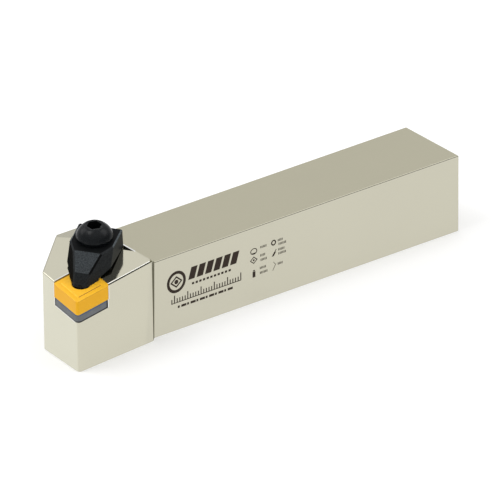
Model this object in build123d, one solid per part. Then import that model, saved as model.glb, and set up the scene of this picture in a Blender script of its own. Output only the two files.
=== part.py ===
from build123d import *

import os
from math import atan, cos, hypot, radians, sin, sqrt, tan

# External turning tool: a square shank and head in one piece, a tilted seat with a carbide shim and
# an 80 degree insert, and a clamp whose nose reaches into the insert and whose heel bears in a pocket.
# Millimetres and degrees. The origin is on the base, under the middle of the shank. X runs along the
# shank to the cutting tip, Y across it towards the side that carries the cutting tip, Z up.

# Shank and head
overall_length = 150.0        # rear end to the cutting tip
shank_width = 25.0
shank_height = 25.0
shank_chamfer = 0.2           # along every long edge and round the rear end
shank_buried = 8.0            # the bar runs on this far inside the head
functional_width = 32.0       # back of the shank to the cutting tip
tip_height = 25.0             # cutting tip above the base
head_length = 30.65           # cutting tip to the rear of the head, along the side cutting edge
head_height = 29.8            # level land at the back corner of the head
front_length = 19.3           # cutting tip to the relief, along the front cutting edge
relief_angle = 40.0           # relief face, from the shank's axis
face_inset = 0.35             # head faces behind the flanks of the insert
facet_rise = 0.25             # ground top of the head above the top of the insert
head_edge_radius = 0.5        # upper edges of the head
front_edge_radius = 1.2       # upright edge below the cutting tip
relief_edge_radius = 1.5      # upright edge between the front and the relief
rear_corner = 0.15            # the near face of the head ends this far before its rear face
flare_angle = 39.5            # from there the head runs in to the side of the shank

# Insert and its attitude in the head
entering_angle = 95.0         # side cutting edge
nose_angle = 80.0
edge_inclination = 6.0        # both cutting edges fall towards the tip
insert_circle = 12.7          # inscribed circle
insert_thickness = 4.76
insert_corner = 0.8
insert_bore = 5.16
insert_bore_chamfer = 0.3
land_width = 0.3              # flat land along the cutting edge
breaker_depth = 0.16          # chip breaker groove, at the foot of the raised middle
breaker_width = 1.95          # cutting edge to the raised middle
breaker_slope = 45.0          # side of the raised middle, from the top face
breaker_floor = 0.08          # flat floor beside the raised middle
breaker_corner = 0.2          # inner corners of the groove

# Shim and its screw
shim_thickness = 3.18
shim_inset = 0.45             # shim inside the outline of the insert
shim_corner = 1.2             # 80 degree corners
shim_side_corner = 0.3        # 100 degree corners
shim_bore_clearance = 0.3     # radial, round the shim screw
shim_screw_size = 5.0
shim_screw_length = 10.0
shim_head_diameter = 7.6
shim_head_height = 1.6
shim_head_sink = 0.3          # top of the screw below the top of the shim
shim_head_clearance = 0.1     # radial, round its head
shim_socket = 3.0             # across flats
shim_socket_depth = 1.3

# Seat in the head
wall_step = 0.35              # lower wall of the seat inside the upper one
wall_step_drop = 0.2          # step below the underside of the insert
corner_relief = 1.1           # radius of the relief in the back corner of the seat
thread_clearance = 0.05       # radial, screw thread in its hole
thread_runout = 2.5           # tapped hole past the end of its screw
drill_point = 118.0
hole_countersink = 0.5

# Clamp: seen from the side it is a hump with a beak, a flat top and a heel
screw_distance = 14.83        # middle of the insert's hole to the clamp screw
clamp_skew = 9.33             # clamp turned from the insert's long diagonal, towards the shank
clamp_width = 13.4
clamp_top = 6.75              # all clamp heights are from the top of the insert
clamp_top_front = 7.7         # front of the flat top, from the screw
clamp_top_rear = 6.6          # rear of the flat top, from the screw
brow_reach = 13.9             # foot of the sloping front
brow_height = 3.25
nose_reach = 16.5             # front of the nose
nose_width = 4.3              # across the front of the nose, at its foot
nose_pad = 11.8               # rear of the flat pad that presses on the insert
flank_taper = 26.1            # sides run in towards the nose, seen from above
flank_lean = 17.0             # and lean in towards the top
belly_step = 0.6              # underside behind the pad
belly_step_run = 0.5
belly_rise = 1.4              # highest place of the underside
belly_peak = 6.2              # where that is, from the screw
belly_clearance = 0.2         # underside above the head, at the heel
clamp_edge = 0.4              # chamfer along the top and down both sides of the nose
clamp_rear_extra = 0.1        # radius of its upright rear edges, over that chamfer
clamp_bore_clearance = 0.3    # radial, round the clamp screw
pin_clearance = 0.53          # radial, pin smaller than the hole of the insert
pin_gap = 0.08                # pin off the wall of that hole, on the side of the screw
pin_depth = 1.6
pin_chamfer = 0.4

# Heel of the clamp and its pocket
pocket_front = 5.3            # front rim of the pocket behind the screw
pocket_width = 4.6
pocket_room = 2.75            # closed end of the pocket past the side of the clamp
pocket_depth = 2.85           # below the top of the head
pocket_corner = 1.6
pocket_lip = 0.45             # wall left behind the pocket
ramp_angle = 25.0             # ramp that draws the clamp back, from the axis of the screw
heel_clearance = 0.05         # heel off the ramp
heel_floor_gap = 0.4          # heel off the floor of the pocket
heel_thickness = 1.15         # at its foot
heel_inset = 0.6              # sides of the heel inside the sides of the clamp

# Clamp screw and washer
clamp_screw_size = 6.0
clamp_screw_length = 20.0
clamp_head_diameter = 11.1
clamp_head_height = 3.5
clamp_head_band = 0.35        # upright rim of the domed head
clamp_head_flat = 5.8         # diameter of the flat on top of the dome
clamp_socket = 4.0            # across flats
clamp_socket_depth = 2.2
screw_point = 0.6             # chamfer at the end of a screw
washer_diameter = 10.6
washer_clearance = 0.25       # radial, round the clamp screw
washer_thickness = 1.0
washer_edge = 0.15

# Places that follow from the driving dimensions
rear_x = -(overall_length - head_length) / 2
tip_x = rear_x + overall_length
back_y = -shank_width / 2
tip_y = back_y + functional_width
half_nose = radians(nose_angle / 2)
side_edge = Vector(cos(half_nose), -sin(half_nose))
side_inward = Vector(sin(half_nose), cos(half_nose))
insert_radius = insert_circle / 2
hole_distance = insert_radius / sin(half_nose)
diagonal_angle = entering_angle - 90.0 + nose_angle / 2
seat_tilt = atan(tan(radians(edge_inclination)) / cos(half_nose))
seat_depth = insert_thickness + shim_thickness
clearance_above = 2 * head_height
reach = 4 * insert_circle


def seat_plane():
    """Top of the insert: origin at the sharp tip, X back along the long diagonal, Z out of the top."""
    turn = radians(diagonal_angle)
    back = (-cos(turn) * cos(seat_tilt), -sin(turn) * cos(seat_tilt), sin(seat_tilt))
    up = (cos(turn) * sin(seat_tilt), sin(turn) * sin(seat_tilt), cos(seat_tilt))
    return Plane(origin=(tip_x, tip_y, tip_height), x_dir=back, z_dir=up)


def screw_place():
    """Clamp screw in the seat plane's own axes."""
    skew = radians(clamp_skew)
    return (hole_distance + screw_distance * cos(skew), -screw_distance * sin(skew))


def clamp_plane():
    """Same level as the seat plane: origin on the clamp screw, X towards the nose."""
    seat = seat_plane()
    x, y = screw_place()
    skew = radians(clamp_skew)
    towards_nose = seat.x_dir * -cos(skew) + seat.y_dir * sin(skew)
    return Plane(origin=seat.from_local_coords((x, y, 0)), x_dir=towards_nose, z_dir=seat.z_dir)


def put(plane, solid):
    """Place a solid that was made in a plane's own axes."""
    return plane.location * solid


def meet(p, u, q, v):
    """Crossing of the line through p along u with the line through q along v."""
    cross = u.X * v.Y - u.Y * v.X
    gap = q - p
    return p + u * ((gap.X * v.Y - gap.Y * v.X) / cross)


def along(angle):
    """Unit vector in a plane, at an angle in degrees from its X."""
    return Vector(cos(radians(angle)), sin(radians(angle)))


def prism(points, low, high):
    """Upright prism on a closed outline of plain points."""
    outline = make_face(Polyline(*points, close=True))
    return Pos(0, 0, low) * extrude(outline, high - low, dir=(0, 0, 1))


def rhombus(inset, corner, side_corner):
    """Outline of the insert, moved in by inset, with its 80 and its 100 degree corners rounded."""
    far = (insert_radius - inset) / sin(half_nose)
    side = (insert_radius - inset) / cos(half_nose)
    middle = hole_distance
    points = [(middle - far, 0), (middle, side), (middle + far, 0), (middle, -side)]
    radii = [corner, side_corner, corner, side_corner]
    return make_face(FilletPolyline(*points, radius=radii, close=True))


# Holder


def near_end():
    """Rear end of the head's near face in the seat plane, where the head starts to run in."""
    return side_edge * (head_length - rear_corner) + side_inward * face_inset


def head_outline():
    """Head in the seat plane: near face and front face along the cutting edges, relief, rear face."""
    front_edge = along(nose_angle / 2)
    relief = along(relief_angle - diagonal_angle)
    front_inward = along(nose_angle / 2 - 90.0)
    tip = Vector(face_inset / sin(half_nose), 0)
    near_rear = near_end() + (side_edge + side_inward * tan(radians(flare_angle))) * rear_corner
    front_end = front_edge * front_length + front_inward * face_inset
    back = meet(near_rear, side_inward, front_end, relief)
    radii = [front_edge_radius, relief_edge_radius, 0, 0, 0]
    return make_face(FilletPolyline(tip, front_end, back, near_rear, near_end(), radius=radii, close=True))


def flare():
    """Corner behind the head that runs in to the side of the shank, no higher than the shank."""
    start = near_end()
    root = start + side_inward * shank_width / 2
    end = root + side_edge * shank_width / 2 / tan(radians(flare_angle))
    wedge = put(seat_plane(), prism([start, end, root], -clearance_above, clearance_above))
    span = 2 * overall_length
    slab = Box(span, span, shank_height, align=(Align.CENTER, Align.CENTER, Align.MIN))
    return wedge & Pos(tip_x, tip_y, 0) * slab


def head_block():
    """Head with its ground top parallel to the insert and a level land at the back corner."""
    height = clearance_above + facet_rise
    block = Pos(0, 0, -clearance_above) * extrude(head_outline(), height, dir=(0, 0, 1))
    block = put(seat_plane(), block)
    span = 2 * overall_length
    slab = Pos(tip_x, back_y, 0) * Box(span, span, head_height, align=(Align.CENTER, Align.MIN, Align.MIN))
    return block & slab


def shank_bar():
    """Square bar that ends inside the head."""
    length = overall_length - head_length + shank_buried
    place = Pos(rear_x, 0, 0)
    return place * Box(length, shank_width, shank_height, align=(Align.MIN, Align.CENTER, Align.MIN))


def screw_hole(size, mouth, foot):
    """Tapped hole from above its mouth down past the end of its screw, with a drill point."""
    radius = size / 2 + thread_clearance
    bottom = foot - thread_runout
    point = radius / tan(radians(drill_point / 2))
    lip = radius + hole_countersink
    outline = Polyline(
        (0, bottom - point),
        (radius, bottom),
        (radius, mouth - hole_countersink),
        (lip, mouth),
        (lip, mouth + clearance_above),
        (0, mouth + clearance_above),
        close=True,
    )
    return revolve(Plane.XZ * make_face(outline), Axis.Z)


def insert_seat():
    """Open corner for the insert over a slightly narrower one for the shim, with a relieved corner."""
    step = -insert_thickness - wall_step_drop
    room = clearance_above

    def corner(inset, low, high):
        back = 2 * hole_distance - inset / sin(half_nose)
        arm = reach * 2
        points = [
            (back, 0),
            (back - arm * cos(half_nose), arm * sin(half_nose)),
            (back - arm * cos(half_nose), -arm * sin(half_nose)),
        ]
        return prism(points, low, high)

    relief = Pos(2 * hole_distance - corner_relief, 0, -seat_depth) * Cylinder(
        corner_relief, room, align=(Align.CENTER, Align.CENTER, Align.MIN)
    )
    return corner(0, step, room) + corner(wall_step, -seat_depth, step) + relief


def heel_pocket():
    """Pocket across the head for the heel of the clamp, with a ramp on its front wall."""
    floor = facet_rise - pocket_depth
    ramp = pocket_depth * tan(radians(ramp_angle))
    top = facet_rise + clearance_above
    profile = Polyline(
        (-pocket_front, top),
        (-pocket_front, facet_rise),
        (-pocket_front - ramp, floor),
        (-pocket_front - pocket_width, floor),
        (-pocket_front - pocket_width, top),
        close=True,
    )
    slot = extrude(Plane.XZ * make_face(profile), 2 * reach, dir=(0, 1, 0))
    slot = Pos(0, -clamp_width / 2 - pocket_room, 0) * slot
    corner = slot.edges().filter_by(Axis.Z).sort_by(Axis.Y)[:2].sort_by(Axis.X)[0]
    return fillet(corner, pocket_corner)


def lip_keeper():
    """Everything in front of the lip that stays behind the heel pocket, in the seat plane's axes."""
    lip = side_edge * (head_length - pocket_lip)
    left = lip + side_inward * reach
    right = lip - side_inward * reach
    ahead = side_edge * -reach
    return prism([right, left, left + ahead, right + ahead], -clearance_above, clearance_above)


def head_rim(head):
    """Upper edges of the head, without those at its rear and the one where facet and land meet."""
    seat = seat_plane()
    facet = head.faces().sort_by(lambda face: abs(seat.to_local_coords(face.center()).Z - facet_rise))[0]
    land = head.faces().sort_by(Axis.Z)[-1]

    def behind_tip(edge):
        return seat.to_local_coords(edge.center()).dot(side_edge)

    between = facet.edges() & land.edges()
    rim = [edge for edge in facet.edges() + land.edges() if edge not in between]
    return [edge for edge in rim if behind_tip(edge) < head_length - rear_corner]


def holder_body():
    """Shank and head with the seat, the heel pocket and the two tapped holes."""
    seat = seat_plane()
    clamp_axes = clamp_plane()
    bar = shank_bar()
    bar = chamfer(bar.edges().filter_by(Axis.X) + bar.faces().sort_by(Axis.X)[0].edges(), shank_chamfer)
    head = head_block()
    head = fillet(head_rim(head), head_edge_radius) + flare()
    foot = head.faces().sort_by(Axis.Z)[0].edges()
    head = chamfer(foot, shank_chamfer)
    body = bar + head
    pocket = put(clamp_axes, heel_pocket()) & put(seat, lip_keeper())
    clamp_hole = screw_hole(clamp_screw_size, facet_rise, under_head() - clamp_screw_length)
    shim_foot = shim_screw_top() - shim_screw_length
    shim_hole = Pos(hole_distance, 0, 0) * screw_hole(shim_screw_size, -seat_depth, shim_foot)
    body = body - put(seat, insert_seat()) - pocket
    return body - put(clamp_axes, clamp_hole) - put(seat, shim_hole)


# Insert and shim


def frustum(top, bottom, depth):
    """Solid between an outline in the top face and one at a depth below it."""
    return loft([top, Pos(0, 0, -depth) * bottom], ruled=True)


def breaker_groove():
    """Sunken ring that falls from the land to the foot of the raised middle."""
    foot = breaker_width - breaker_depth / tan(radians(breaker_slope))
    edge_corner = insert_corner - land_width
    corner = breaker_corner
    deepest = rhombus(foot - breaker_floor, corner, corner)
    outer = frustum(rhombus(land_width, edge_corner, edge_corner), deepest, breaker_depth)
    inner = frustum(rhombus(breaker_width, corner, corner), rhombus(foot, corner, corner), breaker_depth)
    return outer - inner


def insert():
    """Double sided 80 degree insert with a chip breaker on both faces."""
    outline = rhombus(0, insert_corner, insert_corner)
    body = Pos(0, 0, -insert_thickness) * extrude(outline, insert_thickness, dir=(0, 0, 1))
    bore = Pos(hole_distance, 0, -insert_thickness / 2) * Cylinder(insert_bore / 2, 2 * insert_thickness)
    body = body - bore
    rims = body.edges().filter_by(GeomType.CIRCLE)
    rims = rims.filter_by(lambda e: abs(e.radius - insert_bore / 2) < insert_bore_chamfer)
    body = chamfer(rims, insert_bore_chamfer)
    groove = breaker_groove()
    turned = Pos(0, 0, -insert_thickness) * mirror(groove, Plane.XY)
    return put(seat_plane(), body - groove - turned)


def shim():
    """Carbide seat plate with a countersunk hole for its screw."""
    body = extrude(rhombus(shim_inset, shim_corner, shim_side_corner), shim_thickness, dir=(0, 0, 1))
    body = Pos(0, 0, -seat_depth) * body
    top = -insert_thickness
    bore = shim_screw_size / 2 + shim_bore_clearance
    head = shim_head_diameter / 2 + shim_head_clearance
    cone_foot = top - shim_head_sink - shim_head_height
    outline = Polyline(
        (0, -seat_depth - shim_thickness),
        (bore, -seat_depth - shim_thickness),
        (bore, cone_foot),
        (head, top - shim_head_sink),
        (head, top + shim_thickness),
        (0, top + shim_thickness),
        close=True,
    )
    hole = revolve(Plane.XZ * make_face(outline), Axis.Z)
    return put(seat_plane(), body - Pos(hole_distance, 0, 0) * hole)


# Screws and washer


def hexagon_socket(across_flats, depth, top):
    """Hexagon socket with a drilled cone below it."""
    cone = across_flats / 2 * tan(radians(90.0 - drill_point / 2))
    hexagon = extrude(RegularPolygon(across_flats / 2, 6, major_radius=False), depth, dir=(0, 0, 1))
    tip = Cone(0, across_flats / 2, cone, align=(Align.CENTER, Align.CENTER, Align.MAX))
    return Pos(0, 0, top - depth) * (hexagon + tip)


def shim_screw_top():
    """Top of the shim screw, in the seat plane's axes."""
    return -insert_thickness - shim_head_sink


def shim_screw():
    """Short screw with a conical head that stays below the insert."""
    top = shim_screw_top()
    radius = shim_screw_size / 2
    foot = top - shim_screw_length
    outline = Polyline(
        (0, foot),
        (radius - screw_point, foot),
        (radius, foot + screw_point),
        (radius, top - shim_head_height),
        (shim_head_diameter / 2, top),
        (0, top),
        close=True,
    )
    body = revolve(Plane.XZ * make_face(outline), Axis.Z)
    body = body - hexagon_socket(shim_socket, shim_socket_depth, top)
    return put(seat_plane(), Pos(hole_distance, 0, 0) * body)


def under_head():
    """Underside of the clamp screw's head, in the clamp plane's axes."""
    return clamp_top + washer_thickness


def clamp_screw():
    """Domed screw with a hexagon socket."""
    seat_level = under_head()
    top = seat_level + clamp_head_height
    radius = clamp_screw_size / 2
    rim = clamp_head_diameter / 2
    flat = clamp_head_flat / 2
    foot = seat_level - clamp_screw_length
    band_top = seat_level + clamp_head_band
    centre = (rim**2 + band_top**2 - flat**2 - top**2) / (band_top - top) / 2
    dome_radius = hypot(rim, band_top - centre)
    halfway = (rim + flat) / 2
    shoulder = (halfway, centre + sqrt(dome_radius**2 - halfway**2))
    straight = Polyline(
        (flat, top),
        (0, top),
        (0, foot),
        (radius - screw_point, foot),
        (radius, foot + screw_point),
        (radius, seat_level),
        (rim, seat_level),
        (rim, band_top),
    )
    dome = ThreePointArc((rim, band_top), shoulder, (flat, top))
    body = revolve(Plane.XZ * make_face(straight + dome), Axis.Z)
    return put(clamp_plane(), body - hexagon_socket(clamp_socket, clamp_socket_depth, top))


def washer():
    """Plain washer between the clamp and the head of its screw."""
    bore = clamp_screw_size / 2 + washer_clearance
    disc = Cylinder(washer_diameter / 2, washer_thickness)
    disc = chamfer(disc.edges().filter_by(GeomType.CIRCLE), washer_edge)
    ring = disc - Cylinder(bore, washer_thickness)
    return put(clamp_plane(), Pos(0, 0, clamp_top + washer_thickness / 2) * ring)


# Clamp


def clamp_profile():
    """Side view of the clamp: X towards the nose, Y up."""
    ramp = tan(radians(ramp_angle))
    belly_rear = facet_rise + belly_clearance
    heel_drop = pocket_depth - heel_floor_gap
    heel_foot = facet_rise - heel_drop
    ramp_line = -pocket_front - heel_clearance / cos(radians(ramp_angle))
    heel_top = ramp_line - ramp * (facet_rise - belly_rear)
    heel_front = ramp_line - ramp * heel_drop
    return Polyline(
        (-clamp_top_rear, clamp_top),
        (clamp_top_front, clamp_top),
        (brow_reach, brow_height),
        (nose_reach, 0),
        (nose_pad, 0),
        (nose_pad - belly_step_run, belly_step),
        (belly_peak, belly_rise),
        (heel_top, belly_rear),
        (heel_front, heel_foot),
        (heel_front - heel_thickness, heel_foot),
        close=True,
    )


def clamp_blank():
    """Profile across the full width, before its sides are cut."""
    half = extrude(Plane.XZ * make_face(clamp_profile()), clamp_width / 2, both=True)
    rear = half.faces().sort_by(Axis.X)[0]
    upright = [e for e in rear.edges() if abs(e.center().Y) > clamp_width / 4]
    return fillet(upright, clamp_edge + clamp_rear_extra)


def flank_cutter():
    """Outside of one leaning flank, which runs from the widest place to the foot of the nose."""
    normal = Vector(tan(radians(flank_taper)), 1, tan(radians(flank_lean)))
    face = Plane(origin=(nose_reach, nose_width / 2, 0), z_dir=normal)
    span = 2 * reach
    return face.location * Box(span, span, span, align=(Align.CENTER, Align.CENTER, Align.MIN))


def heel_side():
    """Room beside the narrower heel, below the underside of the clamp."""
    place = Pos(-pocket_front, clamp_width / 2 - heel_inset, facet_rise + belly_clearance)
    return place * Box(reach, reach, reach, align=(Align.MAX, Align.MIN, Align.MAX))


def clamp_rim(body):
    """Edges round the top and down both sides of the sloping front and the nose."""
    top = body.faces().sort_by(Axis.Z)[-1]
    rim = [edge for edge in top.edges() if edge.center().X < clamp_top_front - clamp_edge]
    ahead = [edge for edge in body.edges() if edge.center().X > clamp_top_front]
    ahead = [edge for edge in ahead if abs(edge.center().Y) > nose_width / 4]
    return rim + [edge for edge in ahead if max(vertex.Z for vertex in edge.vertices()) > belly_rise]


def clamp():
    """Faceted clamp with a pin at the nose, a heel and a clearance hole for its screw."""
    body = clamp_blank()
    for cutter in (flank_cutter(), heel_side()):
        body = body - cutter - mirror(cutter, Plane.XZ)
    body = chamfer(clamp_rim(body), clamp_edge)
    bore = Cylinder(clamp_screw_size / 2 + clamp_bore_clearance, clearance_above)
    return put(clamp_plane(), body + clamp_pin() - bore)


def clamp_pin():
    """Round pin that reaches down into the insert, rooted in the nose above it."""
    root = pin_chamfer + pin_gap
    radius = insert_bore / 2 - pin_clearance
    pin = Cylinder(radius, pin_depth + root, align=(Align.CENTER, Align.CENTER, Align.MIN))
    foot = pin.edges().filter_by(GeomType.CIRCLE).sort_by(Axis.Z)[0]
    pin = chamfer(foot, pin_chamfer)
    return Pos(screw_distance - pin_clearance + pin_gap, 0, -pin_depth) * pin


parts = {
    "holder_body": holder_body(),
    "shim": shim(),
    "shim_screw": shim_screw(),
    "insert": insert(),
    "clamp": clamp(),
    "washer": washer(),
    "clamp_screw": clamp_screw(),
}

os.makedirs("parts", exist_ok=True)
for name, solid in parts.items():
    export_step(solid, f"parts/{name}.step")
    print(name, round(solid.volume, 1))
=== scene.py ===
"""Finishes, markings, threads, light and camera for the turning tool."""

from math import cos, pi, radians, sin

import bmesh
import bpy
from mathutils import Matrix, Vector


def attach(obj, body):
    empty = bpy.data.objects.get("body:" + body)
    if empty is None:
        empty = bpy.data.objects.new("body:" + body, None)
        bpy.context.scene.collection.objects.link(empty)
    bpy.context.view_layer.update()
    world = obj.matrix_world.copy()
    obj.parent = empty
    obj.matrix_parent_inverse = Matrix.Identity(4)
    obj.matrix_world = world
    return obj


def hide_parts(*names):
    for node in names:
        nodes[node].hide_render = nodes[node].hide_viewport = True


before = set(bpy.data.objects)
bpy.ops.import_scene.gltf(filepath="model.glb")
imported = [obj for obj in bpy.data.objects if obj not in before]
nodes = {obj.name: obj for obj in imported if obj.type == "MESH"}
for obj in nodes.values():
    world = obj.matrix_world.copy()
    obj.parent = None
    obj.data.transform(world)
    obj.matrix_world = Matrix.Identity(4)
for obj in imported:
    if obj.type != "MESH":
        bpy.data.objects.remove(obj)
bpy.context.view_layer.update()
mm = 0.001

# View: a long lens, so that parallel edges stay nearly parallel
view_azimuth = radians(141.46)
view_elevation = radians(26.16)
pixels_per_mm = 3.3539
picture_width = 500
lens = 1600.0
sensor = 36.0
base_corner = Vector((-59.675, 12.5, 0.0)) * mm      # rear lower edge of the shank, on the marked side
base_corner_pixel = (458.60, 230.98)

# Light
floor_shade = 0.78
floor_glow = 0.27            # for the eye
floor_sheen = 0.93           # how the floor shows in metal
floor_evenness = 0.85        # share of that sheen, against the floor's own light and shadow
sky_low = 0.72
sky_high = 1.28
flag_shade = 0.35            # black flag beside the tool, on the marked side
flag_direction = (-0.559, 0.829, 0.0)
light_centre = Vector((30.0, 0.0, 20.0)) * mm
softboxes = (                # direction, distance and size in metres, strength
    ("right_softbox", (-0.56, 0.44, 0.70), 1.2, 0.7, 1.5),
    ("left_softbox", (0.44, -0.70, 0.56), 1.2, 0.7, 1.4),
    ("key_softbox", (0.52, -0.08, 0.85), 1.2, 0.42, 4.0),
)

# Places on the tool, in mm
shank_end = -59.675
shank_side = 12.5
shank_top = 25.0
head_start = 60.5            # forward of this the bar is head
seat_normal = Vector((0.09612, 0.09612, 0.99072))
front_normal = Vector((0.992, -0.091, -0.087))
near_normal = Vector((-0.091, 0.992, -0.087))
insert_top = 35.325          # levels along the seat's normal, from the origin
shim_top = 30.565
shim_foot = 27.385
tip_sides = (85.65, 8.949)   # front and near flank of the insert, along their normals
insert_width = 12.7
wall_front = tip_sides[0] - insert_width     # walls of the seat, along the same normals
wall_near = tip_sides[1] - insert_width
wall_step = 0.35             # wall beside the shim inside the wall beside the insert
seat_back = 74.0             # the wall's line on the head's top starts here
lip_normal = Vector((0.9912, 0.0821, -0.1041))
lip_start = 58.325           # lip behind the clamp's pocket: level along that normal, and its near end
lip_end = 9.45
flare_normal = Vector((-0.701, 0.713, 0.0))
flare_level = -30.28         # face that runs in from the head to the shank's side
flare_foot = 55.5            # rear end of that face
socket_radius = 2.35
socket_rim = 11.15           # just under the screw's flat top
head_foot = 7.75             # underside of the screw's head
screw_axis = Vector((71.4528, 4.0279, 28.3320))      # clamp screw, at the level of the seat

# Faces of the clamp
slope_normal = (0.480, 0.367, 0.797)
nose_normal = (0.689, 0.510, 0.514)
near_chamfer = (-0.345, 0.642, 0.685)
left_chamfer = (0.481, -0.506, 0.716)
slope_chamfer = (0.201, 0.790, 0.579)
left_flank = (0.873, -0.433, 0.224)

# Clamp screw, in mm along its own axis from the level of the seat
thread_pitch = 1.0
thread_crest = 2.96
thread_root = 2.42
thread_top = 7.9
thread_foot = -12.0
thread_steps = 36            # round one turn

# Colours of the holder
# Painted light and shade on the holder's faces: the front lighter, the top yellower, the head a little
# lighter than the shank
steel_side = (0.672, 0.648, 0.525, 1)
steel_head = (0.708, 0.683, 0.550, 1)
steel_top = (0.710, 0.676, 0.510, 1)
steel_front = (0.800, 0.783, 0.640, 1)
# Painted shade over the head's front top edge
steel_front_edge = (0.560, 0.540, 0.440, 1)
steel_patch = (0.560, 0.530, 0.420, 1)
# Painted shade on the flare and along its edge
flare_shade = (0.120, 0.112, 0.060, 1)
# Painted lines along the edges: dark on the shank and under the head's near top edge, light on the head
painted_edge_shade = (0.120, 0.112, 0.080, 1)
painted_line_shade = (0.045, 0.045, 0.035, 1)
painted_highlight = (0.960, 0.950, 0.900, 1)
# Painted highlight on the lip behind the clamp and round the insert and the shim
seat_highlight = (0.950, 0.960, 0.950, 1)

# Colours of the insert, the shim and the black pieces
# Top lighter and yellower than the flanks: painted light by face
gold_top = (1.000, 0.545, 0.028, 1)
gold_flank = (0.975, 0.505, 0.018, 1)
gold_patch = (0.930, 0.480, 0.024, 1)
gold_speck = (0.86, 0.40, 0.02, 1)
# Painted highlights along the edges and on one step of the chip breaker; painted shade on the other
# step, the near flank's top and the far edges
gold_edge_highlight = (1.0, 0.70, 0.14, 1)
gold_step_highlight = (1.0, 0.78, 0.20, 1)
gold_shadow = (0.36, 0.17, 0.02, 1)
gold_far_shade = (0.10, 0.06, 0.02, 1)
carbide_dark = (0.150, 0.160, 0.172, 1)
carbide_light = (0.184, 0.195, 0.209, 1)
carbide_blue = (0.060, 0.125, 0.215, 1)
# Painted shade at the shim's foot and far end, and painted dark lines along its edges
carbide_shade = (0.018, 0.019, 0.021, 1)
carbide_edge_shade = (0.03, 0.032, 0.036, 1)
clamp_base = (0.020, 0.022, 0.023, 1)
# Painted light and shade on the clamp by face: lit slope and chamfers; dark nose, slope edge, left
# flank and flat top
clamp_slope = (0.040, 0.046, 0.050, 1)
clamp_nose_shade = (0.015, 0.0175, 0.0190, 1)
clamp_chamfer_highlight = (0.085, 0.098, 0.105, 1)
clamp_slope_edge_shade = (0.001, 0.0011, 0.0012, 1)
clamp_left_shade = (0.003, 0.003, 0.0025, 1)
clamp_flat_shade = (0.0040, 0.0046, 0.0050, 1)
# Lighter edges of the clamp: painted highlight, also rubbed wear
clamp_edge_glint_and_wear = (0.050, 0.057, 0.062, 1)
screw_base = (0.0048, 0.0062, 0.0074, 1)
# Painted light on the screws' faces turned down
screw_below_lit = (0.0070, 0.0080, 0.0090, 1)
# Lighter edges of the screws: painted highlight, also rubbed wear
screw_edge_glint_and_wear = (0.018, 0.021, 0.023, 1)
# Painted shade inside the screw's socket
socket_shade_color = (0.0015, 0.0016, 0.0018, 1)
socket_dust = (0.008, 0.008, 0.008, 1)
ink_dark = (0.036, 0.024, 0.017, 1)
ink_light = (0.060, 0.042, 0.030, 1)

# Marking, in mm: first number from the rear end, second from the base
mark_depth = 0.02
ring_at = (107.3, 16.0)
clamp_sign_at = (78.1, 17.1)
insert_sign_at = (78.1, 14.2)
bar_width = 0.26
bar_height = 0.75
bar_pitch = 0.5
small_bars = (               # middle of each row of bars, and its length
    (74.7, 17.7, 2.8), (74.9, 15.0, 2.2), (74.6, 13.5, 2.8), (74.8, 10.9, 2.6), (74.5, 9.3, 3.1),
    (68.3, 18.0, 2.2), (67.6, 16.7, 3.4), (67.9, 14.9, 2.8), (67.6, 13.6, 3.3), (68.3, 10.3, 2.2),
)


# ---------------------------------------------------------------- view


def view_axes():
    """Right, up and back vectors of the camera."""
    a, e = view_azimuth, view_elevation
    right = Vector((cos(a), sin(a), 0.0))
    back = Vector((sin(a) * cos(e), -cos(a) * cos(e), sin(e)))
    return right, back.cross(right), back


def add_camera():
    """Long lens camera that puts the base corner on its pixel."""
    right, up, back = view_axes()
    seen_width = picture_width / pixels_per_mm * mm
    distance = seen_width * lens / sensor
    middle = picture_width / 2
    off_right = (base_corner_pixel[0] - middle) / pixels_per_mm * mm
    off_up = (middle - base_corner_pixel[1]) / pixels_per_mm * mm
    aim = base_corner - right * off_right - up * off_up
    data = bpy.data.cameras.new("camera")
    data.lens = lens
    data.sensor_width = sensor
    data.clip_start = 1.0
    data.clip_end = 4 * distance
    camera = bpy.data.objects.new("camera", data)
    turn = Matrix((right, up, back)).transposed().to_4x4()
    camera.matrix_world = Matrix.Translation(aim + back * distance) @ turn
    bpy.context.scene.collection.objects.link(camera)
    bpy.context.scene.camera = camera


# ---------------------------------------------------------------- node helpers


def shader_tree(name):
    """New material with its Principled shader; returns material, tree, shader."""
    material = bpy.data.materials.new(name)
    material.use_nodes = True
    tree = material.node_tree
    return material, tree, tree.nodes["Principled BSDF"]


def add_node(tree, kind, **settings):
    """Node of one kind with its properties set."""
    node = tree.nodes.new(kind)
    for key, value in settings.items():
        setattr(node, key, value)
    return node


def plug(tree, value, socket):
    """Number, colour or another node's output into a socket."""
    if isinstance(value, bpy.types.NodeSocket):
        tree.links.new(value, socket)
    else:
        socket.default_value = value


def math_node(tree, operation, *values, clamp=False):
    """Math node on sockets or numbers; returns its output."""
    node = add_node(tree, "ShaderNodeMath", operation=operation, use_clamp=clamp)
    for value, socket in zip(values, node.inputs):
        plug(tree, value, socket)
    return node.outputs[0]


def ramp(tree, value, start, end, low=0.0, high=1.0):
    """Smooth step of a value from one level to another."""
    node = add_node(tree, "ShaderNodeMapRange", interpolation_type="SMOOTHSTEP")
    plug(tree, value, node.inputs["Value"])
    node.inputs["From Min"].default_value = start
    node.inputs["From Max"].default_value = end
    node.inputs["To Min"].default_value = low
    node.inputs["To Max"].default_value = high
    return node.outputs[0]


def blend_colors(tree, share, first, second):
    """Two colours mixed by a share that changes over the surface."""
    node = add_node(tree, "ShaderNodeMix", data_type="RGBA")
    plug(tree, share, node.inputs[0])
    plug(tree, first, node.inputs[6])
    plug(tree, second, node.inputs[7])
    return node.outputs[2]


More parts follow.
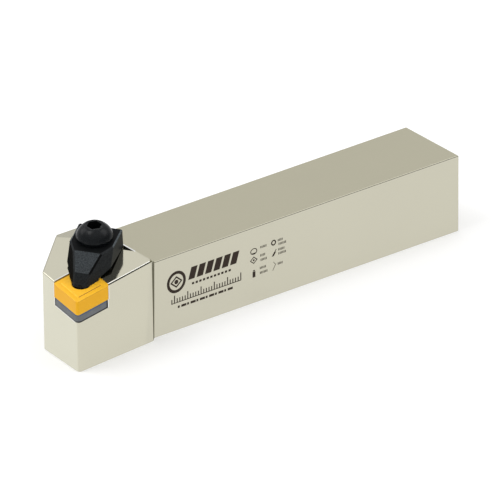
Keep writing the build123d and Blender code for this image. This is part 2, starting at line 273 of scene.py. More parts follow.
def tint(tree, mask, strength, color, shade):
    """Colour brought nearer to a shade where a mask is on."""
    return blend_colors(tree, math_node(tree, "MULTIPLY", mask, strength), color, shade)


def place_node(tree):
    """Object coordinates and the object's own normal."""
    node = add_node(tree, "ShaderNodeTexCoord")
    return node.outputs["Object"], node.outputs["Normal"]


def split_vector(tree, vector):
    """X, Y and Z of a vector."""
    node = add_node(tree, "ShaderNodeSeparateXYZ")
    tree.links.new(vector, node.inputs[0])
    return node.outputs


def facing(tree, normal, direction):
    """How far the surface faces a direction, -1 to 1."""
    node = add_node(tree, "ShaderNodeVectorMath", operation="DOT_PRODUCT")
    tree.links.new(normal, node.inputs[0])
    node.inputs[1].default_value = Vector(direction).normalized()
    return node.outputs["Value"]


def along(tree, place, direction):
    """Distance of a point from the origin, measured along a direction."""
    node = add_node(tree, "ShaderNodeVectorMath", operation="DOT_PRODUCT")
    tree.links.new(place, node.inputs[0])
    node.inputs[1].default_value = direction
    return node.outputs["Value"]


def strip(tree, value, start, end, soft=0.06):
    """1 where a distance lies between two levels in mm, 0 outside them."""
    inward = ramp(tree, value, (start - soft) * mm, (start + soft) * mm)
    outward = ramp(tree, value, (end + soft) * mm, (end - soft) * mm)
    return math_node(tree, "MULTIPLY", inward, outward)


def all_of(tree, first, *others):
    """Product of several masks."""
    for other in others:
        first = math_node(tree, "MULTIPLY", first, other)
    return first


def use_group(tree, group, **values):
    """Place a node group and set its inputs; underscores stand for spaces."""
    node = add_node(tree, "ShaderNodeGroup", node_tree=group)
    for key, value in values.items():
        plug(tree, value, node.inputs[key.replace("_", " ")])
    return node.outputs


def bump(tree, height, strength, distance):
    """Bump node on a height."""
    node = add_node(tree, "ShaderNodeBump")
    node.inputs["Strength"].default_value = strength
    node.inputs["Distance"].default_value = distance
    tree.links.new(height, node.inputs["Height"])
    return node.outputs["Normal"]


def new_group(name, inputs, outputs):
    """Empty node group with named sockets; returns the group, what it is given and its results."""
    group = bpy.data.node_groups.new(name, "ShaderNodeTree")
    for title, kind, value in inputs:
        socket = group.interface.new_socket(
            name=title, in_out="INPUT", socket_type="NodeSocket" + kind
        )
        socket.default_value = value
    for title in outputs:
        group.interface.new_socket(name=title, in_out="OUTPUT", socket_type="NodeSocketFloat")
    given = group.nodes.new("NodeGroupInput").outputs
    return group, given, group.nodes.new("NodeGroupOutput").inputs


# ---------------------------------------------------------------- effects that several finishes share


def grinding_group():
    """Fine streaks of a grinding wheel, and broad patches where the light catches them."""
    inputs = [("Place", "Vector", (0, 0, 0)), ("Streaks", "Vector", (60.0, 6000.0, 6000.0)),
              ("Patch Scale", "Float", 90.0)]
    group, given, result = new_group("grinding", inputs, ("Height", "Patches"))
    stretched = add_node(group, "ShaderNodeVectorMath", operation="MULTIPLY")
    group.links.new(given["Place"], stretched.inputs[0])
    group.links.new(given["Streaks"], stretched.inputs[1])
    streaks = add_node(group, "ShaderNodeTexNoise")
    streaks.inputs["Scale"].default_value = 1.0
    streaks.inputs["Detail"].default_value = 3.0
    group.links.new(stretched.outputs[0], streaks.inputs["Vector"])
    patches = add_node(group, "ShaderNodeTexNoise")
    patches.inputs["Detail"].default_value = 2.0
    group.links.new(given["Place"], patches.inputs["Vector"])
    group.links.new(given["Patch Scale"], patches.inputs["Scale"])
    group.links.new(streaks.outputs["Fac"], result["Height"])
    group.links.new(ramp(group, patches.outputs["Fac"], 0.3, 0.7), result["Patches"])
    return group


def speckle_group():
    """Fine pits and specks of an oxide or a coating."""
    inputs = [("Place", "Vector", (0, 0, 0)), ("Scale", "Float", 5000.0), ("Low", "Float", 0.5),
              ("High", "Float", 0.7)]
    group, given, result = new_group("speckle", inputs, ("Height", "Specks"))
    noise = add_node(group, "ShaderNodeTexNoise")
    noise.inputs["Detail"].default_value = 3.0
    noise.inputs["Roughness"].default_value = 0.7
    group.links.new(given["Place"], noise.inputs["Vector"])
    group.links.new(given["Scale"], noise.inputs["Scale"])
    specks = add_node(group, "ShaderNodeMapRange")
    group.links.new(noise.outputs["Fac"], specks.inputs["Value"])
    group.links.new(given["Low"], specks.inputs["From Min"])
    group.links.new(given["High"], specks.inputs["From Max"])
    group.links.new(noise.outputs["Fac"], result["Height"])
    group.links.new(specks.outputs[0], result["Specks"])
    return group


def edge_group():
    """Thin broken line along the edges, where the finishes paint highlights and dark lines, and on the
    black pieces also rubbed wear.
    """
    inputs = [("Place", "Vector", (0, 0, 0)), ("Width", "Float", 0.15 * mm), ("Gain", "Float", 6.0),
              ("Breaks", "Float", 900.0)]
    group, given, result = new_group("edges", inputs, ("Mask",))
    rounded = add_node(group, "ShaderNodeBevel", samples=8)
    group.links.new(given["Width"], rounded.inputs["Radius"])
    own = add_node(group, "ShaderNodeNewGeometry")
    same = add_node(group, "ShaderNodeVectorMath", operation="DOT_PRODUCT")
    group.links.new(rounded.outputs[0], same.inputs[0])
    group.links.new(own.outputs["Normal"], same.inputs[1])
    turned = math_node(group, "SUBTRACT", 1.0, same.outputs["Value"], clamp=True)
    strong = math_node(group, "MULTIPLY", turned, given["Gain"], clamp=True)
    noise = add_node(group, "ShaderNodeTexNoise")
    noise.inputs["Detail"].default_value = 2.0
    group.links.new(given["Place"], noise.inputs["Vector"])
    group.links.new(given["Breaks"], noise.inputs["Scale"])
    broken = ramp(group, noise.outputs["Fac"], 0.25, 0.6, 0.55, 1.0)
    group.links.new(math_node(group, "MULTIPLY", strong, broken, clamp=True), result["Mask"])
    return group


grinding = grinding_group()
speckle = speckle_group()
edges = edge_group()


# ---------------------------------------------------------------- finishes


def steel_faces(tree, place, normal, grain, flare):
    """Faces of the holder with painted light and shade: each face gets its own colour by how it is
    turned and the head its own, with broad patches and, along the edges, a painted highlight on the
    head and a painted dark line on the shank.
    """
    flat_top = ramp(tree, split_vector(tree, normal)["Z"], 0.9975, 0.9995)
    front = ramp(tree, facing(tree, normal, front_normal), 0.70, 0.97)
    forward = split_vector(tree, place)["X"]
    on_head = ramp(tree, forward, (head_start - 1.0) * mm, (head_start + 1.0) * mm)
    edge = use_group(tree, edges, Place=place, Width=0.12 * mm, Gain=5.0, Breaks=700.0)["Mask"]
    # Painted light and shade: top, head and front each take their own colour
    color = blend_colors(tree, flat_top, steel_side, steel_top)
    color = blend_colors(tree, on_head, color, steel_head)
    color = blend_colors(tree, front, color, steel_front)
    # Painted shade on the flare, in the corner where it meets the shank
    color = blend_colors(tree, flare, color, flare_shade)
    color = tint(tree, grain["Patches"], 0.05, color, steel_patch)
    # Along the edges: painted dark line on the shank, painted highlight on the head
    edge_tone = blend_colors(tree, on_head, painted_edge_shade, painted_highlight)
    return tint(tree, edge, 0.5, color, edge_tone)


def steel_edges(tree, place, normal, color):
    """Thin painted highlights and dark lines along the upper edges of the head and the shank, and
    painted shade along the flare's edge and over the head's front top edge.
    """
    level = split_vector(tree, place)["Z"]
    up = split_vector(tree, normal)["Z"]
    to_near = facing(tree, normal, near_normal)
    to_front = facing(tree, normal, front_normal)
    above = ramp(tree, level, (shank_top + 0.2) * mm, (shank_top + 0.4) * mm)
    upper = all_of(
        tree,
        ramp(tree, to_near, 0.59, 0.54),
        ramp(tree, to_near, 0.10, 0.20),
        ramp(tree, facing(tree, normal, seat_normal), 0.985, 0.96),
        above,
    )
    # Painted highlight along the head's near top edge
    color = blend_colors(tree, upper, color, painted_highlight)
    head_line = all_of(
        tree, ramp(tree, to_near, 0.54, 0.60), ramp(tree, to_near, 0.999, 0.994), above
    )
    slanted = ramp(tree, facing(tree, normal, (0.0, 0.707, 0.707)), 0.985, 0.998)
    lower_half = ramp(tree, level, (shank_top - 0.05) * mm, (shank_top - 0.09) * mm, 0.40, 1.0)
    shank_line = math_node(tree, "MULTIPLY", slanted, lower_half)
    # Painted dark line below that highlight and on the lower half of the shank's top chamfer
    color = blend_colors(tree, math_node(tree, "MAXIMUM", head_line, shank_line), color, painted_line_shade)
    outward = along(tree, place, flare_normal)
    flare_edge = all_of(
        tree,
        ramp(tree, outward, (flare_level - 0.65) * mm, (flare_level - 0.55) * mm),
        ramp(tree, up, 0.2, 0.4),
        ramp(tree, split_vector(tree, place)["X"], flare_foot * mm, (flare_foot + 0.5) * mm),
    )
    # Painted shade along the flare's edge
    color = tint(tree, flare_edge, 0.85, color, flare_shade)
    # Painted shade that tones down the light on the head's front top edge
    front_edge = all_of(tree, above, ramp(tree, to_front, 0.15, 0.25), ramp(tree, to_front, 0.98, 0.95))
    return tint(tree, front_edge, 0.8, color, steel_front_edge)


def seat_lines(tree, place, normal, facet):
    """Painted highlights on the holder: on the lip behind the clamp, and round the insert and the shim.
    """
    axes = split_vector(tree, place)
    near_face = ramp(tree, facing(tree, normal, near_normal), 0.995, 0.999)
    front_face = ramp(tree, facing(tree, normal, front_normal), 0.995, 0.999)
    rise = along(tree, place, seat_normal)
    forward = along(tree, place, front_normal)
    sideways = along(tree, place, near_normal)
    rearward = along(tree, place, lip_normal)
    above_shim = ramp(tree, rise, (shim_top - 0.3) * mm, (shim_top - 0.2) * mm)
    beside_shim = strip(tree, rise, shim_foot + 0.1, shim_top - 0.25)
    below_shim = strip(tree, rise, shim_foot - 0.26, shim_foot + 0.05)
    lower_front = wall_front + wall_step
    lower_near = wall_near + wall_step
    return [
        all_of(
            tree,
            facet,
            ramp(tree, rearward, (lip_start + 0.03) * mm, lip_start * mm),
            ramp(tree, axes["Y"], (lip_end + 0.5) * mm, lip_end * mm),
        ),
        all_of(
            tree,
            facet,
            strip(tree, sideways, wall_near - 0.40, wall_near + 0.2),
            ramp(tree, axes["X"], seat_back * mm, (seat_back + 1.0) * mm),
        ),
        all_of(tree, near_face, above_shim, strip(tree, forward, wall_front - 0.30, wall_front + 0.2)),
        all_of(tree, front_face, above_shim, strip(tree, sideways, wall_near - 0.30, wall_near + 0.2)),
        all_of(tree, near_face, beside_shim, strip(tree, forward, lower_front - 0.30, wall_front + 1)),
        all_of(tree, front_face, beside_shim, strip(tree, sideways, lower_near - 0.30, wall_near + 1)),
        all_of(
            tree,
            front_face,
            below_shim,
            ramp(tree, sideways, (wall_near + 0.2) * mm, (wall_near + 0.4) * mm),
        ),
    ]


def ground_steel():
    """Holder: ground and plated steel, warm white, with painted light and shade on its faces, thin
    painted lines along its edges and painted highlights round the seat.
    """
    material, tree, shader = shader_tree("holder_steel")
    place, normal = place_node(tree)
    grain = use_group(tree, grinding, Place=place, Streaks=(70.0, 5200.0, 5200.0), Patch_Scale=60.0)
    # The flare's colour is painted shade; it is also rough and not metal
    flare = ramp(tree, facing(tree, normal, flare_normal), 0.90, 0.96)
    facet = ramp(tree, facing(tree, normal, seat_normal), 0.9990, 0.9998)
    color = steel_faces(tree, place, normal, grain, flare)
    color = steel_edges(tree, place, normal, color)
    # Painted highlights round the seat and on the lip
    for mask in seat_lines(tree, place, normal, facet):
        color = tint(tree, mask, 0.85, color, seat_highlight)
    tree.links.new(color, shader.inputs["Base Color"])

    smooth = math_node(tree, "MULTIPLY", facet, -0.09)
    rough = math_node(tree, "MULTIPLY_ADD", grain["Height"], 0.06, 0.15)
    rough = math_node(tree, "ADD", rough, smooth)
    tree.links.new(math_node(tree, "ADD", rough, flare, clamp=True), shader.inputs["Roughness"])
    metal = math_node(tree, "SUBTRACT", 1.0, flare, clamp=True)
    tree.links.new(metal, shader.inputs["Metallic"])
    tree.links.new(bump(tree, grain["Height"], 0.10, 0.004 * mm), shader.inputs["Normal"])
    return material


def gold_coat():
    """Insert: golden coating with painted light and shade: a lighter top, highlights along the edges
    and on one step of the chip breaker, shade on its other step, along the top of the near flank and
    along the far edges.
    """
    material, tree, shader = shader_tree("insert_coating")
    place, normal = place_node(tree)
    grain = use_group(tree, speckle, Place=place, Scale=3500.0, Low=0.35, High=0.75)
    broad = use_group(tree, grinding, Place=place, Streaks=(900.0, 900.0, 900.0), Patch_Scale=260.0)
    edge = use_group(tree, edges, Place=place, Width=0.12 * mm, Gain=9.0, Breaks=1200.0)["Mask"]
    top = ramp(tree, facing(tree, normal, seat_normal), 0.94, 0.99)
    # Painted light: the top lighter than the flanks
    color = blend_colors(tree, top, gold_flank, gold_top)
    color = tint(tree, broad["Patches"], 0.18, color, gold_patch)
    color = tint(tree, grain["Specks"], 0.12, color, gold_speck)
    # Painted highlight along the edges
    color = tint(tree, edge, 0.35, color, gold_edge_highlight)
    # Painted highlight on the left step of the chip breaker, painted shade on the right step
    left_step = ramp(tree, facing(tree, normal, seat_normal + front_normal), 0.93, 0.97)
    right_step = ramp(tree, facing(tree, normal, seat_normal + near_normal), 0.93, 0.97)
    color = tint(tree, left_step, 0.18, color, gold_step_highlight)
    color = blend_colors(tree, right_step, color, gold_shadow)
    rise = along(tree, place, seat_normal)
    # Painted shade along the top of the near flank and along the far edges
    upper = ramp(tree, rise, (insert_top - 0.24) * mm, (insert_top - 0.10) * mm)
    near_flank = ramp(tree, facing(tree, normal, near_normal), 0.90, 0.97)
    color = tint(tree, all_of(tree, upper, near_flank), 0.5, color, gold_shadow)
    sideways = along(tree, place, near_normal)
    far_side = ramp(tree, sideways, (wall_near + 0.50) * mm, (wall_near + 0.30) * mm)
    color = tint(tree, far_side, 0.8, color, gold_far_shade)
    tree.links.new(color, shader.inputs["Base Color"])
    tree.links.new(math_node(tree, "MULTIPLY_ADD", top, -0.25, 0.4), shader.inputs["Metallic"])
    rough = math_node(tree, "MULTIPLY_ADD", grain["Specks"], 0.12, 0.34)
    tree.links.new(rough, shader.inputs["Roughness"])
    tree.links.new(bump(tree, grain["Height"], 0.10, 0.006 * mm), shader.inputs["Normal"])
    shader.inputs["Specular IOR Level"].default_value = 0.2
    return material


def carbide():
    """Shim: ground grey carbide, bluish under the insert, with painted shade at its foot, at its far
    end and along its edges.
    """
    material, tree, shader = shader_tree("shim_carbide")
    place, normal = place_node(tree)
    grain = use_group(tree, grinding, Place=place, Streaks=(500.0, 500.0, 7000.0), Patch_Scale=300.0)
    edge = use_group(tree, edges, Place=place, Width=0.28 * mm, Gain=8.0, Breaks=1100.0)["Mask"]
    color = blend_colors(tree, grain["Patches"], carbide_dark, carbide_light)
    rise = along(tree, place, seat_normal)
    rim = ramp(tree, rise, (shim_top - 1.15) * mm, (shim_top - 0.85) * mm)
    color = tint(tree, rim, 0.85, color, carbide_blue)
    # Painted shade at the foot, most on the near flank, and at the far end
    foot = ramp(tree, rise, (shim_foot + 0.46) * mm, (shim_foot + 0.30) * mm)
    near_flank = ramp(tree, facing(tree, normal, near_normal), 0.2, 0.9, 0.45, 1.0)
    color = tint(tree, foot, near_flank, color, carbide_shade)
    forward = along(tree, place, front_normal)
    end = wall_front + wall_step
    far_end = ramp(tree, forward, (end + 0.55) * mm, (end + 0.35) * mm)
    color = blend_colors(tree, far_end, color, carbide_shade)
    # Painted dark lines along the edges
    color = tint(tree, edge, 0.7, color, carbide_edge_shade)
    tree.links.new(color, shader.inputs["Base Color"])
    rough = math_node(tree, "MULTIPLY_ADD", grain["Height"], 0.2, 0.35)
    tree.links.new(rough, shader.inputs["Roughness"])
    tree.links.new(bump(tree, grain["Height"], 0.15, 0.006 * mm), shader.inputs["Normal"])
    shader.inputs["Metallic"].default_value = 0.5
    return material


def black_oxide(name, shades, edge_tone, rough_level, gloss, pits):
    """Black oxide with fine specks and lighter edges, a painted highlight that also stands for rubbed
    wear; shades gives its colour with painted light and shade, and where it is dull.
    """
    material, tree, shader = shader_tree(name)
    place, normal = place_node(tree)
    grain = use_group(tree, speckle, Place=place, Scale=2800.0, Low=0.40, High=0.66)
    edge = use_group(tree, edges, Place=place, Width=0.16 * mm, Gain=4.0, Breaks=800.0)["Mask"]
    color, dull = shades(tree, normal)
    # Lighter edges: painted highlight, also rubbed wear
    color = tint(tree, edge, 0.6, color, edge_tone)
    light = math_node(tree, "MULTIPLY_ADD", grain["Specks"], 0.9, 0.6)
    speckled = add_node(tree, "ShaderNodeVectorMath", operation="SCALE")
    tree.links.new(color, speckled.inputs[0])
    tree.links.new(light, speckled.inputs["Scale"])
    tree.links.new(speckled.outputs[0], shader.inputs["Base Color"])
    rough = math_node(tree, "MULTIPLY_ADD", grain["Height"], 0.25, rough_level)
    tree.links.new(math_node(tree, "ADD", rough, dull, clamp=True), shader.inputs["Roughness"])
    tree.links.new(bump(tree, grain["Height"], pits, 0.03 * mm), shader.inputs["Normal"])
    shader.inputs["Specular IOR Level"].default_value = gloss
    return material


def clamp_shades(tree, normal):
    """Clamp, with painted light and shade by face: a lit grey slope, a darker nose, lit chamfers, a
    dark edge down the slope, a dark left flank and a dark flat top; its left flank is dull.
    """
    color = clamp_base
    # Painted light and shade, one colour for each way a face is turned
    for direction, start, end, shade in (
        (slope_normal, 0.93, 0.985, clamp_slope),
        (nose_normal, 0.97, 0.995, clamp_nose_shade),
        (near_chamfer, 0.97, 0.995, clamp_chamfer_highlight),
        (left_chamfer, 0.97, 0.995, clamp_chamfer_highlight),
        (slope_chamfer, 0.97, 0.995, clamp_slope_edge_shade),
        (left_flank, 0.97, 0.995, clamp_left_shade),
        (seat_normal, 0.990, 0.999, clamp_flat_shade),
    ):
        mask = ramp(tree, facing(tree, normal, direction), start, end)
        color = blend_colors(tree, mask, color, shade)
    left = ramp(tree, facing(tree, normal, left_flank), 0.97, 0.995)
    return color, math_node(tree, "MULTIPLY", left, 0.5)


def screw_shades(tree, normal):
    """Screws and washer: one black, with painted light on the faces turned down, which are also duller.
    """
    below = ramp(tree, facing(tree, normal, seat_normal), 0.0, -0.5)
    # Painted light underneath
    color = blend_colors(tree, below, screw_base, screw_below_lit)
    return color, math_node(tree, "MULTIPLY", below, 0.2)


def socket_painted_shade():
    """Inside of the hexagon socket: painted shade, dull and dark, with a little dust."""
    material, tree, shader = shader_tree("socket_painted_shade")
    place = place_node(tree)[0]
    grain = use_group(tree, speckle, Place=place, Scale=3000.0, Low=0.5, High=0.8)
    color = blend_colors(tree, grain["Specks"], socket_shade_color, socket_dust)
    tree.links.new(color, shader.inputs["Base Color"])
    rough = math_node(tree, "MULTIPLY_ADD", grain["Specks"], 0.1, 0.85)
    tree.links.new(rough, shader.inputs["Roughness"])
    shader.inputs["Specular IOR Level"].default_value = 0.0
    return material


def marking_ink():
    """Dark brown burnt marking, a little uneven."""
    material, tree, shader = shader_tree("marking_ink")
    place = place_node(tree)[0]
    grain = use_group(tree, speckle, Place=place, Scale=4200.0, Low=0.4, High=0.8)
    color = blend_colors(tree, grain["Specks"], ink_dark, ink_light)
    tree.links.new(color, shader.inputs["Base Color"])
    rough = math_node(tree, "MULTIPLY_ADD", grain["Specks"], 0.2, 0.5)
    tree.links.new(rough, shader.inputs["Roughness"])
    tree.links.new(bump(tree, grain["Height"], 0.2, 0.01 * mm), shader.inputs["Normal"])
    shader.inputs["Specular IOR Level"].default_value = 0.15
    return material


def dress(name, material):
    """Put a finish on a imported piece."""
    node = nodes[name]
    node.data.materials.clear()
    node.data.materials.append(material)


# ---------------------------------------------------------------- modelling helpers


def deselect():
    """Nothing selected, object mode."""
    if bpy.context.object and bpy.context.object.mode != "OBJECT":
        bpy.ops.object.mode_set(mode="OBJECT")
    bpy.ops.object.select_all(action="DESELECT")


def fix_place():
    """Bring the object's place, turn and size into its mesh."""
    bpy.ops.object.transform_apply(location=True, rotation=True, scale=True)


def on_side(x, z):
    """Point on the marked side, from the rear end and from the base."""
    return Vector((shank_end + x, shank_side, z)) * mm


def add_plate(x, z, width, height, slant=0.0):
    """Flat plate on the marked side, its middle at x, z; the top may lean towards the head."""
    deselect()
    bpy.ops.mesh.primitive_plane_add(size=1.0, location=on_side(x, z), rotation=(-pi / 2, 0, 0))
    plate = bpy.context.object
    plate.scale = (width * mm, height * mm, 1.0)
    fix_place()
    if slant:
        bpy.ops.object.mode_set(mode="EDIT")
        shape = bmesh.from_edit_mesh(plate.data)
        for corner in shape.verts:
            corner.select = corner.co.z > z * mm
        shape.select_flush(True)
        bmesh.update_edit_mesh(plate.data)
        bpy.ops.transform.translate(value=(slant * mm, 0, 0))
        bpy.ops.object.mode_set(mode="OBJECT")
    return plate


def add_disc(x, z, radius, corners):
    """Flat disc, or a polygon, on the marked side."""
    deselect()
    bpy.ops.mesh.primitive_circle_add(
        vertices=corners,
        radius=radius * mm,
        fill_type="NGON",
        location=on_side(x, z),
        rotation=(-pi / 2, 0, 0),
    )
    fix_place()
    return bpy.context.object


def hollow(plate, rim):
    """Leave only a rim of a flat plate or disc."""
    deselect()
    plate.select_set(True)
    bpy.context.view_layer.objects.active = plate
    bpy.ops.object.mode_set(mode="EDIT")
    bpy.ops.mesh.select_all(action="SELECT")
    bpy.ops.mesh.inset(thickness=rim * mm)
    bpy.ops.mesh.delete(type="FACE")
    bpy.ops.object.mode_set(mode="OBJECT")
    return plate


def squeeze(plate, x, z, wide, high):
    """Stretch a flat piece about a point of the marked side."""
    deselect()
    plate.select_set(True)
    bpy.context.view_layer.objects.active = plate
    bpy.ops.object.mode_set(mode="EDIT")
    bpy.ops.mesh.select_all(action="SELECT")
    bpy.ops.transform.resize(value=(wide, 1, high), center_override=on_side(x, z))
    bpy.ops.object.mode_set(mode="OBJECT")
    return plate


def repeat(plate, count, step):
    """Row of equal plates, one step apart towards the head."""
    deselect()
    plate.select_set(True)
    bpy.context.view_layer.objects.active = plate
    row = plate.modifiers.new("row", "ARRAY")
    row.use_relative_offset = False
    row.use_constant_offset = True
    row.constant_offset_displace = (step * mm, 0, 0)
    row.count = count
    bpy.ops.object.modifier_apply(modifier=row.name)
    return plate


def make_mark(name, plates, ink):
    """Join flat plates into one mark, give it its thickness and fix it to the holder."""
    deselect()
    for plate in plates:
        plate.select_set(True)
    bpy.context.view_layer.objects.active = plates[0]
    if len(plates) > 1:
        bpy.ops.object.join()
    mark = bpy.context.object
    mark.name = name
    mark.data.name = name
    bpy.ops.object.mode_set(mode="EDIT")
    shape = bmesh.from_edit_mesh(mark.data)
    for face in shape.faces:
        face.normal_update()
        face.select_set(face.normal.y < 0)
    bmesh.update_edit_mesh(mark.data)
    bpy.ops.mesh.flip_normals()
    bpy.ops.object.mode_set(mode="OBJECT")
    layer = mark.modifiers.new("depth", "SOLIDIFY")
    layer.thickness = mark_depth * mm
    layer.offset = 1.0
    bpy.ops.object.modifier_apply(modifier=layer.name)
    mark.data.materials.append(ink)
    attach(mark, "holder")


# ---------------------------------------------------------------- marking


def add_large_marks(ink):
    """Beside the head: a diamond in a ring, a slanted band, dashes, a millimetre scale and bars."""
    ring = hollow(add_disc(*ring_at, 3.55, corners=64), 0.95)
    diamond = squeeze(hollow(add_disc(*ring_at, 2.3, corners=4), 0.5), *ring_at, 1.0, 0.84)
    eye = add_disc(*ring_at, 0.72, corners=32)
    make_mark("ring_mark", [ring, diamond, eye], ink)

    band = repeat(add_plate(85.9, 17.2, 2.35, 3.9, slant=-1.2), 6, 3.15)
    make_mark("band_mark", [band], ink)

    dashes = repeat(add_plate(87.2, 13.7, 0.85, 0.7), 11, 1.38)
    make_mark("thin_line_mark", [dashes], ink)

    ticks = repeat(add_plate(83.0, 9.95, 0.36, 1.3), 27, 1.0)
    longer = repeat(add_plate(83.0, 11.15, 0.36, 1.1), 6, 5.0)
    ruled = add_plate(96.0, 9.18, 26.36, 0.25)
    make_mark("scale_mark", [ticks, longer, ruled], ink)

    first = repeat(add_plate(87.0, 7.6, 1.9, bar_height), 6, 3.5)
    second = repeat(add_plate(88.9, 7.6, 0.7, bar_height), 6, 3.5)
    make_mark("low_line_mark", [first, second], ink)


def add_small_signs(ink):
    """Six small signs for the pieces of the tool, and the short bars beside them."""
    arch = hollow(add_disc(*clamp_sign_at, 1.3, corners=24), 0.3)
    arch = squeeze(arch, *clamp_sign_at, 1.0, 0.8)
    foot = add_plate(78.1, 16.4, 1.4, 0.4)
    make_mark("clamp_sign", [arch, foot], ink)

    plate = hollow(add_disc(*insert_sign_at, 1.7, corners=4), 0.36)
    plate = squeeze(plate, *insert_sign_at, 0.85, 0.72)
    eye = add_disc(*insert_sign_at, 0.34, corners=16)
    make_mark("insert_sign", [plate, eye], ink)

    pin = add_plate(78.0, 9.5, 1.05, 1.9)
    cap = add_plate(78.0, 10.75, 0.7, 0.35)
    make_mark("pin_sign", [pin, cap], ink)

    head = hollow(add_disc(70.6, 17.7, 0.95, corners=32), 0.42)
    make_mark("screw_head_sign", [head], ink)

    shaft = add_plate(70.9, 13.9, 0.75, 1.3, slant=-0.9)
    tail = add_plate(70.1, 14.95, 0.3, 0.7, slant=-0.5)
    make_mark("screw_sign", [shaft, tail], ink)

    long_arm = add_plate(70.9, 9.6, 0.2, 2.0, slant=-1.2)
    short_arm = add_plate(70.1, 11.0, 0.2, 0.8, slant=0.5)
    make_mark("key_sign", [long_arm, short_arm], ink)

    rows = []
    for x, z, length in small_bars:
        bar = add_plate(x - length / 2 + 0.15, z, bar_width, bar_height)
        rows.append(repeat(bar, int(length / bar_pitch), bar_pitch))
    make_mark("small_bars_mark", rows, ink)


# ---------------------------------------------------------------- threaded screw


def copy_screw_head():
    """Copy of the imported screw, cut off under its head."""
    deselect()
    packed = nodes["clamp_screw"]
    packed.select_set(True)
    bpy.context.view_layer.objects.active = packed
    bpy.ops.object.duplicate()
    bpy.ops.object.mode_set(mode="EDIT")
    bpy.ops.mesh.select_all(action="SELECT")
    bpy.ops.mesh.remove_doubles(threshold=0.001 * mm)
    bpy.ops.mesh.select_all(action="SELECT")
    cut = screw_axis * mm + seat_normal * (head_foot * mm)
    bpy.ops.mesh.bisect(plane_co=cut, plane_no=seat_normal, use_fill=True, clear_inner=True)
    bpy.ops.object.mode_set(mode="OBJECT")
    return bpy.context.object


def add_thread_profile():
    """Open line of one tooth of the thread: a plane with one edge taken out, its corners moved."""
    deselect()
    bpy.ops.mesh.primitive_plane_add(size=1.0)
    thread = bpy.context.object
    bpy.ops.object.mode_set(mode="EDIT")
    bpy.ops.mesh.select_all(action="SELECT")
    bpy.ops.mesh.delete(type="ONLY_FACE")
    shape = bmesh.from_edit_mesh(thread.data)
    shape.edges.ensure_lookup_table()
    shape.edges[0].select_set(True)
    bmesh.update_edit_mesh(thread.data)
    bpy.ops.mesh.delete(type="EDGE")
    shape = bmesh.from_edit_mesh(thread.data)
    ends = [corner for corner in shape.verts if len(corner.link_edges) == 1]
    chain = [min(ends, key=lambda corner: corner.index)]
    tooth = [(thread_root, 0.0), (thread_crest, 0.42), (thread_crest, 0.58), (thread_root, 1.0)]
    while len(chain) < len(tooth):
        beyond = [edge.other_vert(chain[-1]) for edge in chain[-1].link_edges]
        chain += [corner for corner in beyond if corner not in chain]
    start = thread_foot - 2 * thread_pitch
    for corner, (radius, rise) in zip(chain, tooth):
        corner.co = (radius * mm, 0, (start + rise * thread_pitch) * mm)
    bmesh.update_edit_mesh(thread.data)
    bpy.ops.object.mode_set(mode="OBJECT")
    return thread


def wind_thread(thread):
    """Wind the tooth up the screw's axis, and cut the thread off square at both ends."""
    helix = thread.modifiers.new("helix", "SCREW")
    helix.axis = "Z"
    helix.angle = 2 * pi
    helix.screw_offset = thread_pitch * mm
    helix.iterations = int((thread_top - thread_foot) / thread_pitch) + 5
    helix.steps = thread_steps
    helix.render_steps = thread_steps
    helix.use_merge_vertices = True
    helix.merge_threshold = 0.002 * mm
    bpy.ops.object.modifier_apply(modifier=helix.name)
    bpy.ops.object.mode_set(mode="EDIT")
    bpy.ops.mesh.select_all(action="SELECT")
    bpy.ops.mesh.remove_doubles(threshold=0.004 * mm)
    bpy.ops.mesh.select_all(action="SELECT")
    bpy.ops.mesh.normals_make_consistent(inside=False)
    for level, side in ((thread_foot, "clear_inner"), (thread_top, "clear_outer")):
        bpy.ops.mesh.select_all(action="SELECT")
        bpy.ops.mesh.bisect(
            plane_co=(0, 0, level * mm), plane_no=(0, 0, 1), use_fill=True, **{side: True}
        )
    bpy.ops.object.mode_set(mode="OBJECT")
    upright = seat_normal.to_track_quat("Z", "Y").to_matrix().to_4x4()
    thread.matrix_world = Matrix.Translation(screw_axis * mm) @ upright
    fix_place()


def in_socket(point):
    """Whether a point of the screw lies inside its hexagon socket."""
    apart = point - screw_axis * mm
    rise = apart.dot(seat_normal)
    off_axis = (apart - seat_normal * rise).length
    return off_axis < socket_radius * mm and 0 < rise < socket_rim * mm


def add_threaded_screw(finish, recess):
    """Clamp screw with a cut thread below its packed head."""
    head = copy_screw_head()
    thread = add_thread_profile()
    wind_thread(thread)
    deselect()
    head.select_set(True)
    thread.select_set(True)
    bpy.context.view_layer.objects.active = head
    bpy.ops.object.join()
    screw = bpy.context.object
    screw.name = "threaded_clamp_screw"
    screw.data.name = screw.name
    bpy.ops.object.shade_smooth_by_angle(angle=radians(32))
    screw.data.materials.clear()
    screw.data.materials.append(finish)
    screw.data.materials.append(recess)
    # Faces inside the socket take the painted shade
    for face in screw.data.polygons:
        face.material_index = int(in_socket(face.center))
    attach(screw, "clamp_screw")
    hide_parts("clamp_screw")


# ---------------------------------------------------------------- room


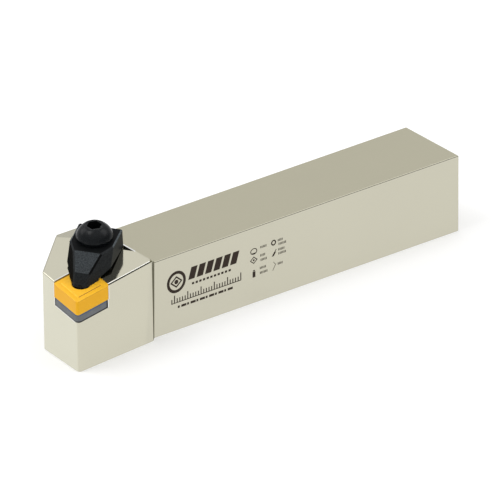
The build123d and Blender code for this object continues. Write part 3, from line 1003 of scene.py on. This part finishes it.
def add_floor():
    """Pale floor that shows white and keeps a soft shadow."""
    deselect()
    bpy.ops.mesh.primitive_plane_add(size=4.0)
    floor = bpy.context.object
    floor.name = "floor"
    material = bpy.data.materials.new("floor_paint")
    material.use_nodes = True
    tree = material.node_tree
    tree.nodes.clear()
    out = add_node(tree, "ShaderNodeOutputMaterial")
    paint = add_node(tree, "ShaderNodeBsdfDiffuse")
    paint.inputs["Color"].default_value = (floor_shade, floor_shade, floor_shade, 1)
    glow = add_node(tree, "ShaderNodeEmission")
    path = add_node(tree, "ShaderNodeLightPath")
    seen = math_node(tree, "MULTIPLY", path.outputs["Is Camera Ray"], floor_glow)
    tree.links.new(seen, glow.inputs["Strength"])
    both = add_node(tree, "ShaderNodeAddShader")
    tree.links.new(paint.outputs[0], both.inputs[0])
    tree.links.new(glow.outputs[0], both.inputs[1])
    sheen = add_node(tree, "ShaderNodeEmission")
    sheen.inputs["Strength"].default_value = floor_sheen
    pick = add_node(tree, "ShaderNodeMixShader")
    mirrored = math_node(tree, "MULTIPLY", path.outputs["Is Glossy Ray"], floor_evenness)
    tree.links.new(mirrored, pick.inputs[0])
    tree.links.new(both.outputs[0], pick.inputs[1])
    tree.links.new(sheen.outputs[0], pick.inputs[2])
    tree.links.new(pick.outputs[0], out.inputs["Surface"])
    floor.data.materials.append(material)


def add_sky():
    """White for the eye; for the rest a soft dome, brighter overhead, with a black flag at one side."""
    world = bpy.data.worlds.new("dome")
    bpy.context.scene.world = world
    world.use_nodes = True
    tree = world.node_tree
    tree.nodes.clear()
    out = add_node(tree, "ShaderNodeOutputWorld")
    white = add_node(tree, "ShaderNodeBackground")
    white.inputs["Color"].default_value = (1, 1, 1, 1)
    dome = add_node(tree, "ShaderNodeBackground")
    place = add_node(tree, "ShaderNodeTexCoord").outputs["Generated"]
    height = split_vector(tree, place)["Z"]
    level = ramp(tree, height, 0.30, 0.95, sky_low, sky_high)
    beside = ramp(tree, facing(tree, place, flag_direction), 0.55, 0.85)
    low = ramp(tree, height, 0.28, 0.46, 1.0, 0.0)
    flag = math_node(tree, "MULTIPLY", beside, low)
    shade = add_node(tree, "ShaderNodeMix", data_type="FLOAT")
    tree.links.new(flag, shade.inputs[0])
    tree.links.new(level, shade.inputs[2])
    shade.inputs[3].default_value = flag_shade
    tree.links.new(shade.outputs[0], dome.inputs["Strength"])
    path = add_node(tree, "ShaderNodeLightPath")
    pick = add_node(tree, "ShaderNodeMixShader")
    tree.links.new(path.outputs["Is Camera Ray"], pick.inputs[0])
    tree.links.new(dome.outputs[0], pick.inputs[1])
    tree.links.new(white.outputs[0], pick.inputs[2])
    tree.links.new(pick.outputs[0], out.inputs["Surface"])


def add_softbox(name, direction, distance, size, strength):
    """Square lamp that faces the middle of the tool; strength is the radiance of its face."""
    data = bpy.data.lights.new(name, "AREA")
    data.shape = "SQUARE"
    data.size = size
    data.energy = strength * pi * size * size
    lamp = bpy.data.objects.new(name, data)
    towards = Vector(direction).normalized()
    lamp.location = light_centre + towards * distance
    lamp.rotation_euler = towards.to_track_quat("Z", "Y").to_euler()
    bpy.context.scene.collection.objects.link(lamp)


# ---------------------------------------------------------------- the tool

dress("holder_body", ground_steel())
dress("insert", gold_coat())
dress("shim", carbide())
dress("clamp", black_oxide("clamp_black", clamp_shades, clamp_edge_glint_and_wear, 0.36, 0.06, 0.30))
screw_black = black_oxide("screw_black", screw_shades, screw_edge_glint_and_wear, 0.13, 0.17, 0.08)
for name in ("clamp_screw", "washer", "shim_screw"):
    dress(name, screw_black)
add_threaded_screw(screw_black, socket_painted_shade())
ink = marking_ink()
add_large_marks(ink)
add_small_signs(ink)

add_camera()
add_floor()
add_sky()
for softbox in softboxes:
    add_softbox(*softbox)

bpy.context.scene.view_settings.view_transform = "Standard"
